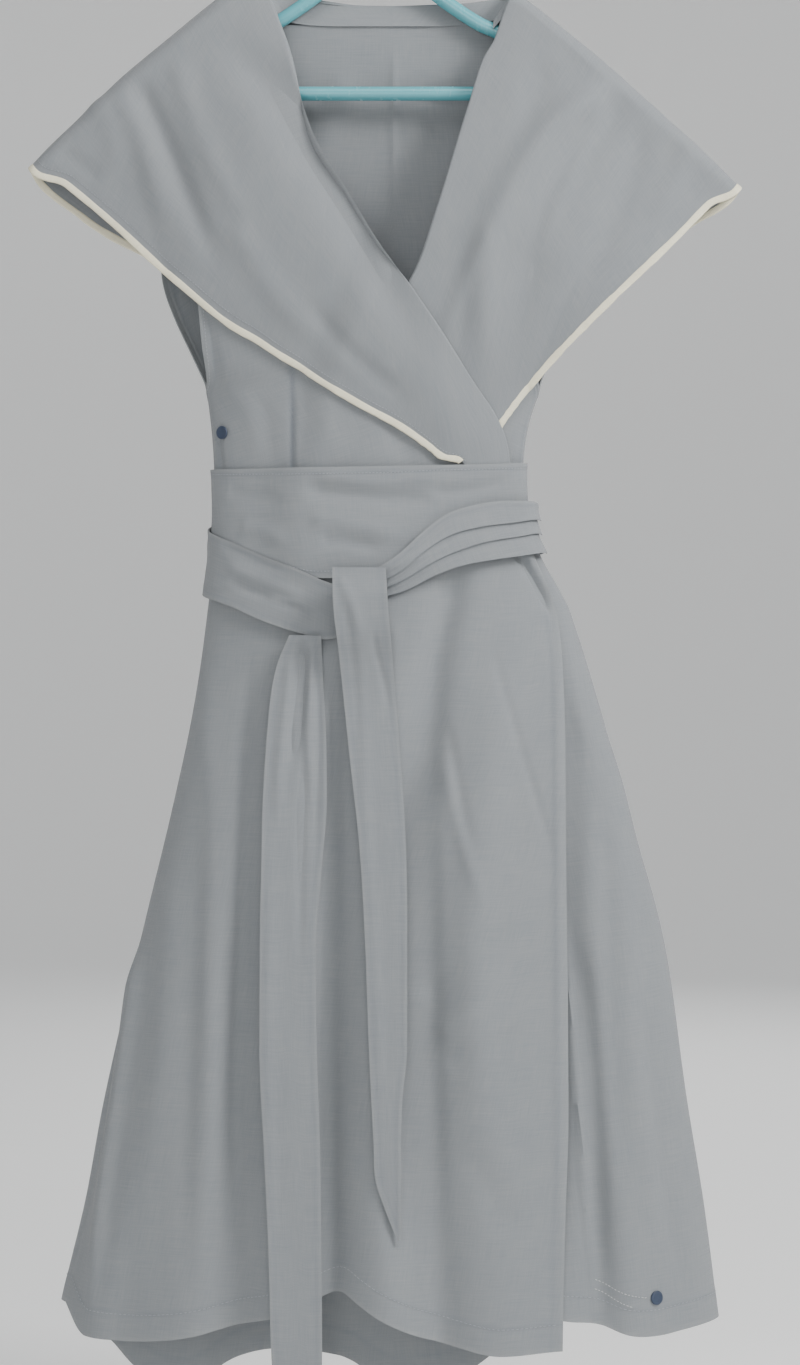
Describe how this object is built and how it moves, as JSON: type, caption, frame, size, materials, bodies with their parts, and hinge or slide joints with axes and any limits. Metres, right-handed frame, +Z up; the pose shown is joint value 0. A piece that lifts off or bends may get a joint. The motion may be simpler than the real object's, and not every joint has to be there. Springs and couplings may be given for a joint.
{
  "type": "wrap midi dress on a tubular clothes hanger",
  "caption": "Wrap midi dress with a wide cape collar, piped edge and tied sash, hung open and hollow on a tubular hanger.",
  "frame": {"origin": "the seat of the hanger's hook, where a rod or a hook carries it", "axes": "+Z up, -Y the front of the dress, +X to the viewer's right"},
  "size_m": [0.6186, 0.14, 1.356],
  "materials": {
    "cloth": "woven blue-grey chambray, matt, with slub threads",
    "piping": "cream bias binding",
    "hanger": "turquoise moulded tube",
    "dot": "small navy disc"
  },
  "bodies": {
    "root": {"hanger_hook": "hanger", "hanger_arms": "hanger", "hanger_bar": "hanger", "bodice_front_over": "cloth", "bodice_front_under": "cloth", "bodice_back_left": "cloth", "bodice_back_right": "cloth", "collar_left": "cloth", "collar_right": "cloth", "collar_stand_left": "cloth", "collar_stand_right": "cloth", "piping_left": "piping", "piping_right": "piping", "skirt_front_over": "cloth", "skirt_front_under": "cloth", "skirt_back_left": "cloth", "skirt_back_right": "cloth", "sash_wrap_front": "cloth", "sash_wrap_back": "cloth", "sash_tie_left": "cloth", "sash_strand_low": "cloth", "sash_strand_middle": "cloth", "sash_strand_top": "cloth", "sash_knot": "cloth", "sash_tail_centre": "cloth", "sash_tail_left": "cloth", "dot_bodice": "dot", "dot_hem": "dot"}
  },
  "joints": []
}
